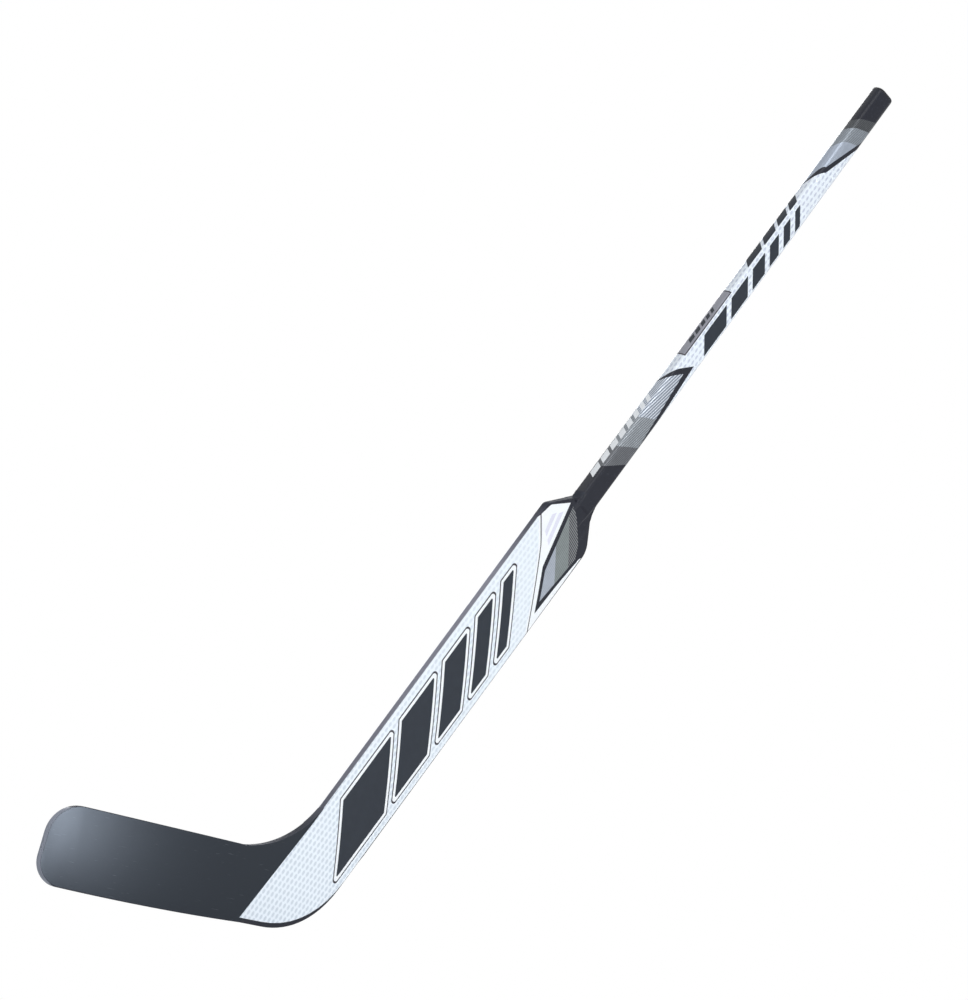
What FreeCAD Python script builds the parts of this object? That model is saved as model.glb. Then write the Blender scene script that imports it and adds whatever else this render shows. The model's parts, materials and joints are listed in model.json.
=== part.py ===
import FreeCAD, Part
import math
import os
import Sketcher

# Goalkeeper's hockey stick in playing position, in millimetres. The sole is level, the blade points
# to -X, the shaft rises to +X and the face looks to -Y. The origin lies on the shaft's axis where
# the shaft leaves the paddle.

# Driving dimensions: alias, value, what it sets
SIZES = (
    ("lie_angle", "58.3", "angle between the shaft and the sole, degrees"),
    ("glue_gap", "0.1", "gap for glue on each side of a piece inside the tube"),
    ("shaft_length", "555.5", "length of the tube above the paddle"),
    ("shaft_width", "25", "tube across the face"),
    ("shaft_depth", "18", "tube from front to back"),
    ("shaft_corner", "4.5", "outer corner radius of the tube"),
    ("shaft_wall", "2", "wall of the tube"),
    ("plug_head_length", "3.5", "end plug outside the tube"),
    ("plug_shank_length", "40", "end plug inside the tube"),
    ("plug_step", "0.4", "how far the plug's head stands back from the tube's faces"),
    ("plug_end_radius", "2.5", "rounding of the plug's free end"),
    ("tenon_length", "90", "spine inside the tube"),
    ("paddle_length", "594", "origin to the sole along the shaft's axis"),
    ("paddle_width", "77.5", "paddle across the face"),
    ("paddle_depth", "14", "paddle from front to back at its middle"),
    ("edge_depth", "9.5", "paddle from front to back at its edges, and blade at the seam"),
    ("skin_depth", "1.4", "thickness of the laminate skins"),
    ("neck_width", "23", "paddle blank where it meets the tube"),
    ("upper_neck_drop", "7", "straight part of the neck on the upper side"),
    ("upper_shoulder_drop", "38.5", "origin to the corner of the upper shoulder"),
    ("upper_shoulder_radius", "8", "rounding of the upper shoulder"),
    ("lower_neck_drop", "13", "origin to the bend where the lower shoulder starts to flare"),
    ("lower_neck_flare", "3.7", "widening of the neck down to that bend"),
    ("lower_neck_radius", "25", "rounding of that bend"),
    ("lower_shoulder_drop", "41", "origin to the corner of the lower shoulder"),
    ("lower_shoulder_radius", "24", "rounding of the lower shoulder"),
    ("fairing_length", "70", "length over which the shaft's section sinks into the paddle"),
    ("fairing_end_width", "16", "width of the fairing at its buried end"),
    ("fairing_end_depth", "11", "depth of the fairing at its buried end"),
    ("fairing_end_corner", "3", "corner radius of the fairing at its buried end"),
    ("heel_radius", "112", "rounding of the heel"),
    ("spine_width", "18", "width of the spine"),
    ("rail_width", "6.5", "width of the edge rails"),
    ("shoulder_block_length", "60", "origin to the lower end of the shoulder blocks"),
    ("heel_block_length", "128", "heel block along the shaft's axis, up from the sole"),
    ("tongue_width", "40", "heel tongue across the seam, half on each side"),
    ("tongue_length", "34", "heel tongue along the seam"),
    ("tongue_depth", "3.2", "thickness of the heel tongue"),
    ("tongue_rise", "23", "along the seam from the tongue's lower end up to the middle of the blade's rib"),
    ("blade_length", "353", "heel corner to toe along the sole"),
    ("blade_height", "81", "sole to the top edge at the crook"),
    ("toe_height", "88.5", "sole to the top edge at the toe"),
    ("toe_lean", "9", "how far the toe's top stands back toward the heel"),
    ("toe_lower_radius", "27", "rounding of the toe at the sole"),
    ("toe_upper_radius", "37", "rounding of the toe at the top"),
    ("sole_rocker", "2.6", "how far the sole bulges below its two ends"),
    ("crook_run", "61", "reach of the crook along the top edge and along the paddle"),
    ("crook_radius", "130", "radius of the crook"),
    ("bend_front_radius", "1060", "bend of the blade's front face"),
    ("bend_back_radius", "1150", "bend of the blade's back face, larger so that the toe is thinner"),
    ("strip_width", "6", "height of the sole strip and of the top strip"),
    ("toe_block_length", "26", "toe block along the sole"),
    ("rib_height", "4", "height of the stiffening rib"),
)

doc = FreeCAD.newDocument("goal_stick")
sheet = doc.addObject("Spreadsheet::Sheet", "Sizes")
for row, (alias, number, meaning) in enumerate(SIZES, start=1):
    sheet.set(f"A{row}", number)
    sheet.set(f"B{row}", meaning)
    sheet.setAlias(f"A{row}", alias)
doc.recompute()

# Lengths and places that follow from the driving dimensions. The margin and the far places only
# make the cutting solids larger than what they cut.
MARGIN = "20"
FAR_SIDE = "Sizes.paddle_width"
FAR_OUT = "Sizes.shaft_depth"
HALF_WIDTH = "Sizes.paddle_width / 2"
HALF_EDGE = "Sizes.edge_depth / 2"
SIN_LIE = "sin(Sizes.lie_angle)"
COS_LIE = "cos(Sizes.lie_angle)"
TAN_LIE = "tan(Sizes.lie_angle)"
BORE_WIDTH = "(Sizes.shaft_width - 2 * Sizes.shaft_wall)"
BORE_DEPTH = "(Sizes.shaft_depth - 2 * Sizes.shaft_wall)"
BORE_CORNER = "(Sizes.shaft_corner - Sizes.shaft_wall)"
CROWN_RISE = "((Sizes.paddle_depth - Sizes.edge_depth) / 2)"
CROWN_RADIUS = f"((({HALF_WIDTH})^2 + {CROWN_RISE}^2) / (2 * {CROWN_RISE}))"
HEEL_U = f"(-Sizes.paddle_length + {HALF_WIDTH} / {TAN_LIE})"
SEAM_U = f"(-Sizes.paddle_length - {HALF_WIDTH} / {TAN_LIE})"
HEEL_BLOCK_U = "(Sizes.heel_block_length - Sizes.paddle_length)"
SOLE_Z = f"(-Sizes.paddle_length * {SIN_LIE})"
HEEL_X = f"(-Sizes.paddle_length * {COS_LIE} + {HALF_WIDTH} / {SIN_LIE})"
SEAM_X = f"(-Sizes.paddle_length * {COS_LIE} - {HALF_WIDTH} / {SIN_LIE})"
TOE_X = f"({HEEL_X} - Sizes.blade_length)"
TOP_Z = f"({SOLE_Z} + Sizes.blade_height)"
RIB_RISE = "(Sizes.blade_height / 2)"
CROOK_X = f"({SEAM_X} + Sizes.blade_height / {TAN_LIE})"
SOLE_CHORD = f"({SEAM_X} - {TOE_X})"
SOLE_RADIUS = f"(({SOLE_CHORD}^2 / 4 + Sizes.sole_rocker^2) / (2 * Sizes.sole_rocker))"
LIE_TURN = "rotation(0; -Sizes.lie_angle; 90)"


def value(formula):
    """Gives the number that a formula of the sheet has now."""
    return float(sheet.evalExpression(formula))


def stick_place(u, v, w, turn=LIE_TURN):
    """Gives the placement of a point up the shaft, across the face and out of the face."""
    return f"placement({LIE_TURN} * vector({u}; {v}; {w}); {turn})"


def bind(thing, **formulas):
    """Ties properties of an object to formulas of the sheet."""
    for path, formula in formulas.items():
        thing.setExpression(path, formula)
    return thing


# Sketches and bodies

def new_body(name, place=None):
    """Starts a body, turned into the stick's direction when a placement is given."""
    body = doc.addObject("PartDesign::Body", name)
    body.Label = name
    if place:
        bind(body, Placement=place)
    return body


def new_sketch(body, name, plane, offset=None):
    """Starts a sketch on one of the body's origin planes."""
    support = [item for item in body.Origin.OriginFeatures if item.Role == plane]
    sketch = body.newObject("Sketcher::SketchObject", name)
    sketch.AttachmentSupport = (support[0], [""])
    sketch.MapMode = "FlatFace"
    if offset:
        sketch.setExpression("AttachmentOffset.Base.z", offset)
    doc.recompute()
    return sketch


def hold(sketch, kind, *where, formula):
    """Adds a dimension to a sketch and ties it to a formula."""
    index = sketch.addConstraint(Sketcher.Constraint(kind, *where, value(formula)))
    sketch.setExpression(f"Constraints[{index}]", formula)


def arc_between(start, end, radius):
    """Gives the arc from start to end that turns left when the radius is positive, else right."""
    chord = end - start
    middle = (start + end) * 0.5
    to_left = FreeCAD.Vector(-chord.y, chord.x, 0).normalize()
    rise = math.sqrt(radius ** 2 - (chord.Length / 2) ** 2)
    centre = middle + to_left * math.copysign(rise, radius)
    first, last = (start, end) if radius > 0 else (end, start)
    circle = Part.Circle(centre, FreeCAD.Vector(0, 0, 1), abs(radius))
    return Part.ArcOfCircle(circle, circle.parameter(first), circle.parameter(last))


def draw_outline(sketch, corners, bends=None):
    """Draws a closed outline. Corners are pairs of formulas, bends give the radius of curved sides."""
    bends = bends or {}
    points = [FreeCAD.Vector(value(x), value(y), 0) for x, y in corners]
    ends = []
    for side, start in enumerate(points):
        end = points[(side + 1) % len(points)]
        if side in bends:
            radius = value(bends[side])
            sketch.addGeometry(arc_between(start, end, radius), False)
            ends.append((1, 2) if radius > 0 else (2, 1))
        else:
            sketch.addGeometry(Part.LineSegment(start, end), False)
            ends.append((1, 2))
    for side, (x, y) in enumerate(corners):
        following = (side + 1) % len(corners)
        joint = Sketcher.Constraint("Coincident", side, ends[side][1], following, ends[following][0])
        sketch.addConstraint(joint)
        hold(sketch, "DistanceX", -1, 1, side, ends[side][0], formula=x)
        hold(sketch, "DistanceY", -1, 1, side, ends[side][0], formula=y)
    for side, radius in bends.items():
        hold(sketch, "Radius", side, formula=f"abs({radius})")
    doc.recompute()


def draw_rounded(sketch, width, height, corner):
    """Draws a rectangle with rounded corners about the sketch's origin."""
    first = sketch.GeometryCount
    across, up, radius = value(width) / 2, value(height) / 2, value(corner)
    centres = [(across - radius, up - radius), (radius - across, up - radius),
               (radius - across, radius - up), (across - radius, radius - up)]
    for turn, (x, y) in enumerate(centres):
        circle = Part.Circle(FreeCAD.Vector(x, y, 0), FreeCAD.Vector(0, 0, 1), radius)
        begin = turn * math.pi / 2
        sketch.addGeometry(Part.ArcOfCircle(circle, begin, begin + math.pi / 2), False)
    for turn in range(4):
        here, following = first + turn, first + (turn + 1) % 4
        run = Part.LineSegment(sketch.getPoint(here, 2), sketch.getPoint(following, 1))
        side = sketch.addGeometry(run, False)
        sketch.addConstraint(Sketcher.Constraint("Tangent", here, 2, side, 1))
        sketch.addConstraint(Sketcher.Constraint("Tangent", side, 2, following, 1))
    for turn, (right, above) in enumerate(((1, 1), (-1, 1), (-1, -1), (1, -1))):
        hold(sketch, "DistanceX", -1, 1, first + turn, 3, formula=f"{right} * ({width} / 2 - {corner})")
        hold(sketch, "DistanceY", -1, 1, first + turn, 3, formula=f"{above} * ({height} / 2 - {corner})")
    hold(sketch, "Radius", first, formula=corner)
    doc.recompute()


def pad(body, sketch, length, symmetric=False, reverse=False):
    """Gives a sketch its length."""
    feature = body.newObject("PartDesign::Pad", f"{sketch.Name}_pad")
    feature.Profile = sketch
    feature.SideType = "Symmetric" if symmetric else "One side"
    feature.Reversed = reverse
    bind(feature, Length=length)
    doc.recompute()
    return feature


def round_edges(body, name, radius, picked):
    """Rounds the edges of the body's tip for which picked(edge) holds."""
    base = body.Tip
    names = [f"Edge{number}" for number, edge in enumerate(base.Shape.Edges, start=1) if picked(edge)]
    feature = body.newObject("PartDesign::Fillet", name)
    feature.Base = (base, names)
    bind(feature, Radius=radius)
    doc.recompute()
    return feature


def stands_on(*corner):
    """Picks the upright edges that stand on a corner of an outline, given in the sketch's plane."""
    spot = FreeCAD.Vector(value(corner[0]), value(corner[1]), 0)

    def picked(edge):
        foot = edge.CenterOfMass
        flat = FreeCAD.Vector(foot.x, foot.y, 0)
        return edge.BoundBox.ZLength > 1 and (flat - spot).Length < 0.01
    return picked


def reaches(distance):
    """Picks the edges that lie wholly at a distance along the body's first axis."""
    return lambda edge: edge.BoundBox.XMin > distance - 0.01


# Solids of simple form and their joins

def block(name, place, length, width, height):
    """Makes a box from a placement and three sizes."""
    box = doc.addObject("Part::Box", name)
    return bind(box, Placement=place, Length=length, Width=width, Height=height)


def stick_block(name, u_range, v_range, w_range):
    """Makes a box from its ranges up the shaft, across the face and out of the face."""
    place = stick_place(u_range[0], v_range[0], w_range[0])
    spans = [f"({end}) - ({start})" for start, end in (u_range, v_range, w_range)]
    return block(name, place, *spans)


def level_block(name, x_range, z_range):
    """Makes a box from its ranges along the sole and upward, deep enough for the whole blade."""
    place = f"placement(vector({x_range[0]}; -Sizes.blade_length; {z_range[0]}); rotation(0; 0; 0))"
    spans = [f"({end}) - ({start})" for start, end in (x_range, z_range)]
    return block(name, place, spans[0], "2 * Sizes.blade_length", spans[1])


def common(name, *solids):
    """Keeps what all solids share."""
    result = doc.addObject("Part::MultiCommon", name)
    result.Shapes = list(solids)
    return result


def fuse(name, *solids):
    """Joins solids into one."""
    result = doc.addObject("Part::MultiFuse", name)
    result.Shapes = list(solids)
    result.Refine = True
    return result


def cut(name, base, tool):
    """Takes one solid away from another."""
    result = doc.addObject("Part::Cut", name)
    result.Base = base
    result.Tool = tool
    return result


# Shaft

def section_body(name, start, length, width, depth, corner):
    """Makes a bar of rounded section along the shaft, which starts at a place up the shaft."""
    body = new_body(name, stick_place("0", "0", "0"))
    sketch = new_sketch(body, f"{name}_section", "YZ_Plane", start)
    draw_rounded(sketch, width, depth, corner)
    pad(body, sketch, length)
    return body


def shaft_tube():
    """Hollow laminate tube, from the paddle to the end plug."""
    body = new_body("shaft_tube", stick_place("0", "0", "0"))
    sketch = new_sketch(body, "tube_section", "YZ_Plane")
    draw_rounded(sketch, "Sizes.shaft_width", "Sizes.shaft_depth", "Sizes.shaft_corner")
    draw_rounded(sketch, BORE_WIDTH, BORE_DEPTH, BORE_CORNER)
    pad(body, sketch, "Sizes.shaft_length")
    return body


def inside_bore(name, start, length):
    """Makes a bar that fits into the tube's bore with a gap for glue."""
    width = f"({BORE_WIDTH} - 2 * Sizes.glue_gap)"
    depth = f"({BORE_DEPTH} - 2 * Sizes.glue_gap)"
    return section_body(name, start, length, width, depth, f"({BORE_CORNER} - Sizes.glue_gap)")


def butt_end_plug():
    """End plug: a shank in the tube and a head with a rounded end."""
    start = "Sizes.shaft_length - Sizes.plug_shank_length"
    body = inside_bore("butt_end_plug", start, "Sizes.plug_shank_length")
    sketch = new_sketch(body, "plug_head", "YZ_Plane", "Sizes.shaft_length")
    width = "(Sizes.shaft_width - 2 * Sizes.plug_step)"
    depth = "(Sizes.shaft_depth - 2 * Sizes.plug_step)"
    draw_rounded(sketch, width, depth, "(Sizes.shaft_corner - Sizes.plug_step)")
    pad(body, sketch, "Sizes.plug_head_length")
    free_end = value("Sizes.shaft_length + Sizes.plug_head_length")
    round_edges(body, "plug_rounding", "Sizes.plug_end_radius", reaches(free_end))
    return body


def shaft_foam():
    """Foam rod between the spine's tenon and the end plug."""
    length = "Sizes.shaft_length - Sizes.tenon_length - Sizes.plug_shank_length"
    return inside_bore("shaft_foam", "Sizes.tenon_length", length)


# Paddle

def paddle_outline():
    """Makes the paddle's outline as a block that is deeper than the paddle."""
    lower_bend = ("-Sizes.lower_neck_drop", "-(Sizes.neck_width / 2 + Sizes.lower_neck_flare)")
    lower_shoulder = ("-Sizes.lower_shoulder_drop", f"-{HALF_WIDTH}")
    upper_shoulder = ("-Sizes.upper_shoulder_drop", HALF_WIDTH)
    heel = (HEEL_U, f"-{HALF_WIDTH}")
    body = new_body("paddle_outline", stick_place("0", "0", "0"))
    sketch = new_sketch(body, "paddle_plan", "XY_Plane")
    draw_outline(sketch, (
        ("0", "-Sizes.neck_width / 2"), lower_bend, lower_shoulder, heel, (SEAM_U, HALF_WIDTH),
        upper_shoulder, ("-Sizes.upper_neck_drop", "Sizes.neck_width / 2"), ("0", "Sizes.neck_width / 2")))
    pad(body, sketch, f"2 * {FAR_OUT} + {MARGIN}", symmetric=True)
    round_edges(body, "heel_rounding", "Sizes.heel_radius", stands_on(*heel))
    round_edges(body, "lower_shoulder_rounding", "Sizes.lower_shoulder_radius", stands_on(*lower_shoulder))
    round_edges(body, "lower_neck_rounding", "Sizes.lower_neck_radius", stands_on(*lower_bend))
    round_edges(body, "upper_shoulder_rounding", "Sizes.upper_shoulder_radius", stands_on(*upper_shoulder))
    return body


def crown(name, face, inset):
    """Makes the cylinder under a crowned face: face is 1 in front and -1 at the back."""
    cylinder = doc.addObject("Part::Cylinder", name)
    centre = f"{face} * (Sizes.paddle_depth / 2 - {CROWN_RADIUS})"
    along_shaft = f"{LIE_TURN} * rotation(vector(0; 1; 0); 90)"
    reach = f"(Sizes.paddle_length + Sizes.paddle_width + {MARGIN})"
    bind(cylinder, Placement=stick_place(f"-{reach}", "0", centre, along_shaft))
    bind(cylinder, Radius=f"{CROWN_RADIUS} - {inset}", Height=f"{reach} + {MARGIN}")
    return cylinder


def shaft_fairing():
    """Makes the part of the shaft's section that sinks into the paddle."""
    body = new_body("shaft_fairing", stick_place("0", "0", "0"))
    upper = new_sketch(body, "fairing_upper", "YZ_Plane")
    draw_rounded(upper, "Sizes.shaft_width", "Sizes.shaft_depth", "Sizes.shaft_corner")
    lower = new_sketch(body, "fairing_lower", "YZ_Plane", "-Sizes.fairing_length")
    draw_rounded(lower, "Sizes.fairing_end_width", "Sizes.fairing_end_depth", "Sizes.fairing_end_corner")
    loft = body.newObject("PartDesign::AdditiveLoft", "fairing_loft")
    loft.Profile = upper
    loft.Sections = [lower]
    doc.recompute()
    return body


def paddle_skin(label, blank, face, inner):
    """Laminate skin of one face: the blank's half outside the inner crown."""
    out = (f"-{FAR_OUT}", "0") if face < 0 else ("0", FAR_OUT)
    reach = f"(Sizes.paddle_length + Sizes.paddle_width + {MARGIN})"
    half = stick_block(f"{label}_side", (f"-{reach}", "0"), (f"-{FAR_SIDE}", FAR_SIDE), out)
    return cut(label, common(f"{label}_half", blank, half), inner)


def paddle_filling(label, filling, u_range, v_range):
    """One piece of the paddle's inner layer, between two places up the shaft and two across the face."""
    return common(label, filling, stick_block(f"{label}_range", u_range, v_range, (f"-{FAR_OUT}", FAR_OUT)))


def paddle_spine(filling):
    """Stringer with a tenon that goes up into the tube."""
    across = ("-Sizes.spine_width / 2", "Sizes.spine_width / 2")
    stem = paddle_filling("spine_stem", filling, (HEEL_BLOCK_U, "0"), across)
    tenon = inside_bore("spine_tenon", "0", "Sizes.tenon_length")
    return fuse("paddle_spine", stem, tenon)


def heel_tongue():
    """Flat key across the seam between paddle and blade."""
    low = f"({SEAM_U} + {RIB_RISE} / {SIN_LIE} - Sizes.tongue_rise)"
    across = (f"{HALF_WIDTH} - Sizes.tongue_width / 2", f"{HALF_WIDTH} + Sizes.tongue_width / 2")
    through = ("-Sizes.tongue_depth / 2", "Sizes.tongue_depth / 2")
    return stick_block("heel_tongue", (low, f"{low} + Sizes.tongue_length"), across, through)


def paddle_parts(tongue):
    """Builds the paddle: two skins and between them spine, blocks, rails and foam."""
    outer_front = crown("crown_front", 1, "0")
    outer_back = crown("crown_back", -1, "0")
    lens = common("paddle_lens", paddle_outline(), outer_front, outer_back)
    blank = fuse("paddle_blank", lens, shaft_fairing())
    inner_front = crown("crown_inner_front", 1, "Sizes.skin_depth")
    inner_back = crown("crown_inner_back", -1, "Sizes.skin_depth")
    filling = common("paddle_filling", blank, inner_front, inner_back)
    spine_edge = "Sizes.spine_width / 2"
    rail_edge = f"({HALF_WIDTH} - Sizes.rail_width)"
    shoulder = ("-Sizes.shoulder_block_length", "0")
    middle = (HEEL_BLOCK_U, "-Sizes.shoulder_block_length")
    foot = (f"{SEAM_U} - {MARGIN}", HEEL_BLOCK_U)
    whole = paddle_filling("heel_block_whole", filling, foot, (f"-{FAR_SIDE}", FAR_SIDE))
    return [
        paddle_skin("paddle_front_skin", blank, 1, inner_front),
        paddle_skin("paddle_back_skin", blank, -1, inner_back),
        paddle_spine(filling),
        paddle_filling("shoulder_block_upper", filling, shoulder, (spine_edge, FAR_SIDE)),
        paddle_filling("shoulder_block_lower", filling, shoulder, (f"-{FAR_SIDE}", f"-{spine_edge}")),
        paddle_filling("paddle_upper_rail", filling, middle, (rail_edge, FAR_SIDE)),
        paddle_filling("paddle_lower_rail", filling, middle, (f"-{FAR_SIDE}", f"-{rail_edge}")),
        paddle_filling("paddle_core_upper", filling, middle, (spine_edge, rail_edge)),
        paddle_filling("paddle_core_lower", filling, middle, (f"-{rail_edge}", f"-{spine_edge}")),
        cut("heel_block", whole, tongue),
    ]


# Blade

def blade_outline():
    """Makes the blade's side outline as a block that is deeper than the bent blade."""
    seam = (SEAM_X, SOLE_Z)
    toe_low = (TOE_X, SOLE_Z)
    toe_high = (f"{TOE_X} + Sizes.toe_lean", f"{SOLE_Z} + Sizes.toe_height")
    crook_low = (f"{CROOK_X} - Sizes.crook_run", TOP_Z)
    crook_high = (f"{CROOK_X} + Sizes.crook_run * {COS_LIE}", f"{TOP_Z} + Sizes.crook_run * {SIN_LIE}")
    body = new_body("blade_outline", "placement(vector(0; 0; 0); rotation(0; 0; 90))")
    sketch = new_sketch(body, "blade_side", "XY_Plane")
    bends = {0: f"-{SOLE_RADIUS}", 3: "Sizes.crook_radius"}
    draw_outline(sketch, (seam, toe_low, toe_high, crook_low, crook_high), bends)
    pad(body, sketch, "2 * Sizes.blade_length", symmetric=True)
    round_edges(body, "toe_lower_rounding", "Sizes.toe_lower_radius", stands_on(*toe_low))
    round_edges(body, "toe_upper_rounding", "Sizes.toe_upper_radius", stands_on(*toe_high))
    return body


def bent_layer(name, front, front_radius, back, back_radius):
    """Makes an upright layer that is flat beside the seam and bends back beyond it."""
    body = new_body(name)
    sketch = new_sketch(body, f"{name}_plan", "XY_Plane")
    reach = f"({SEAM_X} - {TOE_X} + {MARGIN})"
    end_x = f"({SEAM_X} - {reach})"
    front_end = f"{front} + {front_radius} - sqrt(({front_radius})^2 - {reach}^2)"
    back_end = f"{back} + {back_radius} - sqrt(({back_radius})^2 - {reach}^2)"
    draw_outline(sketch, (
        ("0", back), (SEAM_X, back), (end_x, back_end), (end_x, front_end), (SEAM_X, front), ("0", front)),
        {1: f"-({back_radius})", 3: f"({front_radius})"})
    pad(body, sketch, f"{MARGIN} - {SOLE_Z}", reverse=True)
    return body


def blade_filling(label, filling, x_range, z_range):
    """One piece of the blade's inner layer, between two places along the sole and two heights."""
    return common(label, filling, level_block(f"{label}_range", x_range, z_range))


def blade_parts(tongue):
    """Builds the blade: two bent skins and between them strips, toe block, rib and foam."""
    outline = blade_outline()
    front = f"(-{HALF_EDGE})"
    back = f"({HALF_EDGE})"
    inner_front = f"(-{HALF_EDGE} + Sizes.skin_depth)"
    inner_back = f"({HALF_EDGE} - Sizes.skin_depth)"
    front_radius = "Sizes.bend_front_radius"
    back_radius = "Sizes.bend_back_radius"
    inner_front_radius = f"({front_radius} - Sizes.skin_depth)"
    inner_back_radius = f"({back_radius} + Sizes.skin_depth)"
    front_layer = bent_layer("front_layer", front, front_radius, inner_front, inner_front_radius)
    back_layer = bent_layer("back_layer", inner_back, inner_back_radius, back, back_radius)
    core_layer = bent_layer("core_layer", inner_front, inner_front_radius, inner_back, inner_back_radius)
    filling = cut("blade_filling", common("blade_filling_whole", outline, core_layer), tongue)
    toe = (f"{TOE_X} - {MARGIN}", f"{TOE_X} + Sizes.toe_block_length")
    run = (toe[1], "0")
    sole_top = f"({SOLE_Z} + Sizes.strip_width)"
    rib_low = f"({SOLE_Z} + {RIB_RISE} - Sizes.rib_height / 2)"
    rib_high = f"({SOLE_Z} + {RIB_RISE} + Sizes.rib_height / 2)"
    strip_low = f"({TOP_Z} - Sizes.strip_width)"
    low_end = f"{SOLE_Z} - {MARGIN}"
    return [
        common("blade_front_skin", outline, front_layer),
        common("blade_back_skin", outline, back_layer),
        blade_filling("blade_toe_block", filling, toe, (low_end, "0")),
        blade_filling("blade_sole_strip", filling, run, (low_end, sole_top)),
        blade_filling("blade_core_lower", filling, run, (sole_top, rib_low)),
        blade_filling("blade_rib", filling, run, (rib_low, rib_high)),
        blade_filling("blade_core_upper", filling, run, (rib_high, strip_low)),
        blade_filling("blade_top_strip", filling, run, (strip_low, "0")),
    ]


# Assembly

def check(parts):
    """Stops the build when an object has failed or a part is not one sound solid."""
    for thing in doc.Objects:
        if "Invalid" in thing.State or "Error" in thing.State:
            raise RuntimeError(f"{thing.Label} did not build: {thing.State}")
    for part in parts:
        shape = part.Shape
        if shape.isNull() or not shape.isValid() or len(shape.Solids) != 1:
            raise RuntimeError(f"{part.Label} is not one valid solid")


tongue = heel_tongue()
parts = [shaft_tube(), butt_end_plug(), shaft_foam(), tongue]
parts += paddle_parts(tongue)
parts += blade_parts(tongue)
doc.recompute()
for part in parts:
    part.Label = part.Name
check(parts)

os.makedirs("parts", exist_ok=True)
for part in parts:
    part.Shape.exportStep(f"parts/{part.Label}.step")
    box = part.Shape.BoundBox
    print(f"{part.Label}: {part.Shape.Volume / 1000:.1f} cm3, x {box.XMin:.1f} to {box.XMax:.1f}, "
          f"y {box.YMin:.1f} to {box.YMax:.1f}, z {box.ZMin:.1f} to {box.ZMax:.1f}")
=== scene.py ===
"""Looks of a goalkeeper's hockey stick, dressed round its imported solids.

Films and prints are thin pieces of their own on the laminate. Their outlines are in millimetres in
the stick's own axes: u up the shaft, v across the face toward the blade, w out of the front face.
"""
import json
import logging
import math
from dataclasses import dataclass, field
from enum import Enum
from typing import ClassVar, Iterable, Sequence

import bmesh
import bpy
from bmesh.types import BMEdge, BMesh, BMFace
from bpy.types import ID, Material, Node, NodeSocket, NodeTree, Object
from mathutils import Matrix, Vector
from mathutils.bvhtree import BVHTree


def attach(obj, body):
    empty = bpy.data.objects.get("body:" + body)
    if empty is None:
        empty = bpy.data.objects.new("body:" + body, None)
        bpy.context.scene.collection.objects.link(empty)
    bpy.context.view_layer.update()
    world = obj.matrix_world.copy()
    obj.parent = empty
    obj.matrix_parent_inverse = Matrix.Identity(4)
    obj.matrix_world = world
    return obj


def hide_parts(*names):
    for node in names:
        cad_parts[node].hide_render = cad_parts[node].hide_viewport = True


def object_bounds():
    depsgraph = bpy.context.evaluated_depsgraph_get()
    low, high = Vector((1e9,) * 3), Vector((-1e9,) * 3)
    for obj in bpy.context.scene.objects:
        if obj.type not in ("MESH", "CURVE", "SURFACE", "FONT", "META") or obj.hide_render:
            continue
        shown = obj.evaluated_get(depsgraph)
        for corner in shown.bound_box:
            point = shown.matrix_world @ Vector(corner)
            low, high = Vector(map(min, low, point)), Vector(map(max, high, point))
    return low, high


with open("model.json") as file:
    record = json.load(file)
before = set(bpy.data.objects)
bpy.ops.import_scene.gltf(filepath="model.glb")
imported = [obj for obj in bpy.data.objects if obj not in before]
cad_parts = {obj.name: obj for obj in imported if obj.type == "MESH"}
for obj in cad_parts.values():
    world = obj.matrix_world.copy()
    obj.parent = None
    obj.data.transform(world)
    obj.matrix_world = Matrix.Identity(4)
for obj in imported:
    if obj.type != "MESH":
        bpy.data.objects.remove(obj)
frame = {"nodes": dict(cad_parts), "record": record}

LOG = logging.getLogger("goal_stick")
CAD_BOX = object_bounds()
BODY = "root"
MM = 0.001
PRINT_MAP = "print_map"

Paint = Node | tuple[float, ...]


class Side(Enum):
    """The two faces of the stick, by the sign of w."""

    FRONT = 1.0
    BACK = -1.0

    @property
    def word(self) -> str:
        """The side's name as it stands in the names of nodes and pieces."""
        return self.name.lower()

    @property
    def out(self) -> Vector:
        """The side's outward direction."""
        return Vector((0.0, 0.0, self.value))


class Flat(Enum):
    """Flat sides of the shaft, by their outward direction in v and w."""

    FRONT = (0.0, 1.0)
    BACK = (0.0, -1.0)
    UPPER = (1.0, 0.0)


class Slot(Enum):
    """Material slots of the record."""

    SHAFT = "shaft_laminate"
    WHITE = "white_skin"
    BLACK = "black_skin"
    EDGE = "edge_composite"
    PLUG = "plug_plastic"


# Finishes

# Most of a noise lies between these values
NOISE_REACH = (0.3, 0.7)
# How far the roughness of a surface swings
GLOSS_SWING = 0.03
# Slope of the shaft, which plies and grain follow
SHAFT_LIE = math.radians(58.3)
PURE_WHITE = (1.0, 1.0, 1.0, 1.0)


def linear(colour: str) -> tuple[float, float, float, float]:
    """Turns an sRGB colour into a linear one.

    Args:
        colour: the hex value, with its # sign.

    Returns:
        Linear red, green, blue and alpha.
    """
    parts = (int(colour[place:place + 2], 16) / 255 for place in (1, 3, 5))
    red, green, blue = (c / 12.92 if c <= 0.04045 else ((c + 0.055) / 1.055) ** 2.4 for c in parts)
    return red, green, blue, 1.0


def feed(tree: NodeTree, node: Node, inputs: dict | Sequence) -> None:
    """Sets or links the inputs of a node.

    Args:
        tree: the node's tree.
        node: node that is fed.
        inputs: value, output socket or node for each input, by name or number, or in order from the
            first. A node stands for its first output.
    """
    named = inputs if isinstance(inputs, dict) else dict(enumerate(inputs))
    for key, given in named.items():
        source = given.outputs[0] if isinstance(given, Node) else given
        if isinstance(source, NodeSocket):
            tree.links.new(source, node.inputs[key])
        else:
            node.inputs[key].default_value = source


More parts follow.
